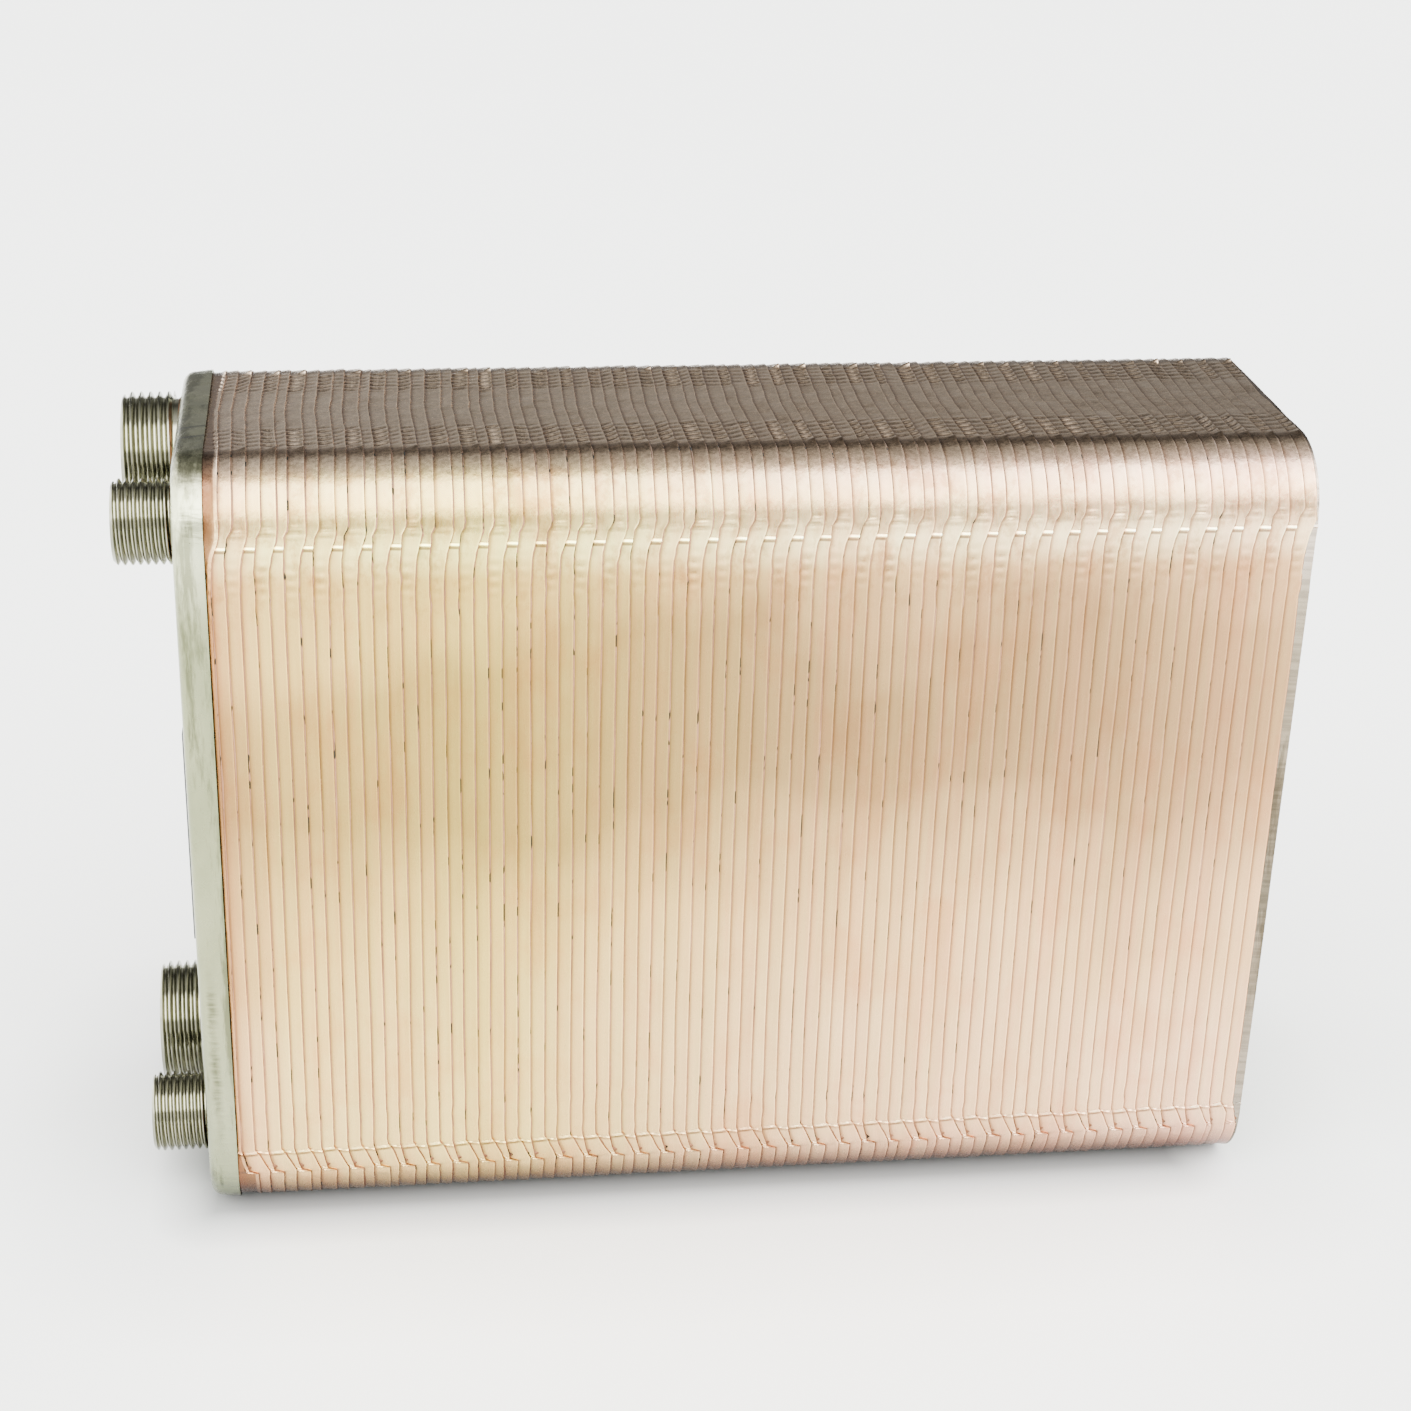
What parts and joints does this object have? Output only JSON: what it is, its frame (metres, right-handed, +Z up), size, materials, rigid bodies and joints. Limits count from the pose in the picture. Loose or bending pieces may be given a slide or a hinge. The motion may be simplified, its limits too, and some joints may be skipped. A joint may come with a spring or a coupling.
{
  "type": "plate heat exchanger",
  "caption": "Brazed plate heat exchanger: a stack of nested pressed plates between two cover plates, with threaded pipe connectors on the front cover.",
  "frame": {"origin": "bottom centre of the whole exchanger, on the surface that it stands on", "axes": "+X along the stack from the connectors to the rear cover, +Y across the plates, +Z up along the plates"},
  "size_m": [0.2918, 0.0946, 0.2086],
  "materials": {
    "brazed_sheet": "bright annealed stainless sheet with a thin pink copper stain from brazing",
    "cover_steel": "bare bright annealed stainless sheet, slightly rubbed",
    "connector_steel": "turned stainless bar with a cut thread",
    "copper": "flowed brazing copper, dull and slightly oxidised",
    "label": "blank dark rating plate"
  },
  "bodies": {
    "root": {"front_cover": "cover_steel", "front_frame_plate": "cover_steel", "front_sealing_plate": "brazed_sheet", "channel_pair_01": "brazed_sheet", "channel_pair_02": "brazed_sheet", "channel_pair_03": "brazed_sheet", "channel_pair_04": "brazed_sheet", "channel_pair_05": "brazed_sheet", "channel_pair_06": "brazed_sheet", "channel_pair_07": "brazed_sheet", "channel_pair_08": "brazed_sheet", "channel_pair_09": "brazed_sheet", "channel_pair_10": "brazed_sheet", "channel_pair_11": "brazed_sheet", "channel_pair_12": "brazed_sheet", "channel_pair_13": "brazed_sheet", "channel_pair_14": "brazed_sheet", "channel_pair_15": "brazed_sheet", "channel_pair_16": "brazed_sheet", "channel_pair_17": "brazed_sheet", "channel_pair_18": "brazed_sheet", "channel_pair_19": "brazed_sheet", "channel_pair_20": "brazed_sheet", "channel_pair_21": "brazed_sheet", "channel_pair_22": "brazed_sheet", "channel_pair_23": "brazed_sheet", "channel_pair_24": "brazed_sheet", "channel_pair_25": "brazed_sheet", "channel_pair_26": "brazed_sheet", "channel_pair_27": "brazed_sheet", "channel_pair_28": "brazed_sheet", "channel_pair_29": "brazed_sheet", "channel_pair_30": "brazed_sheet", "channel_pair_31": "brazed_sheet", "channel_pair_32": "brazed_sheet", "channel_pair_33": "brazed_sheet", "channel_pair_34": "brazed_sheet", "channel_pair_35": "brazed_sheet", "channel_pair_36": "brazed_sheet", "channel_pair_37": "brazed_sheet", "channel_pair_38": "brazed_sheet", "channel_pair_39": "brazed_sheet", "rear_cover": "cover_steel", "rear_frame_plate": "cover_steel", "connector_upper_near": "connector_steel", "connector_upper_far": "connector_steel", "connector_lower_near": "connector_steel", "connector_lower_far": "connector_steel", "braze_fillet_upper_near": "copper", "braze_fillet_upper_far": "copper", "braze_fillet_lower_near": "copper", "braze_fillet_lower_far": "copper", "copper_seams": "copper", "rating_plate": "label"}
  },
  "joints": []
}
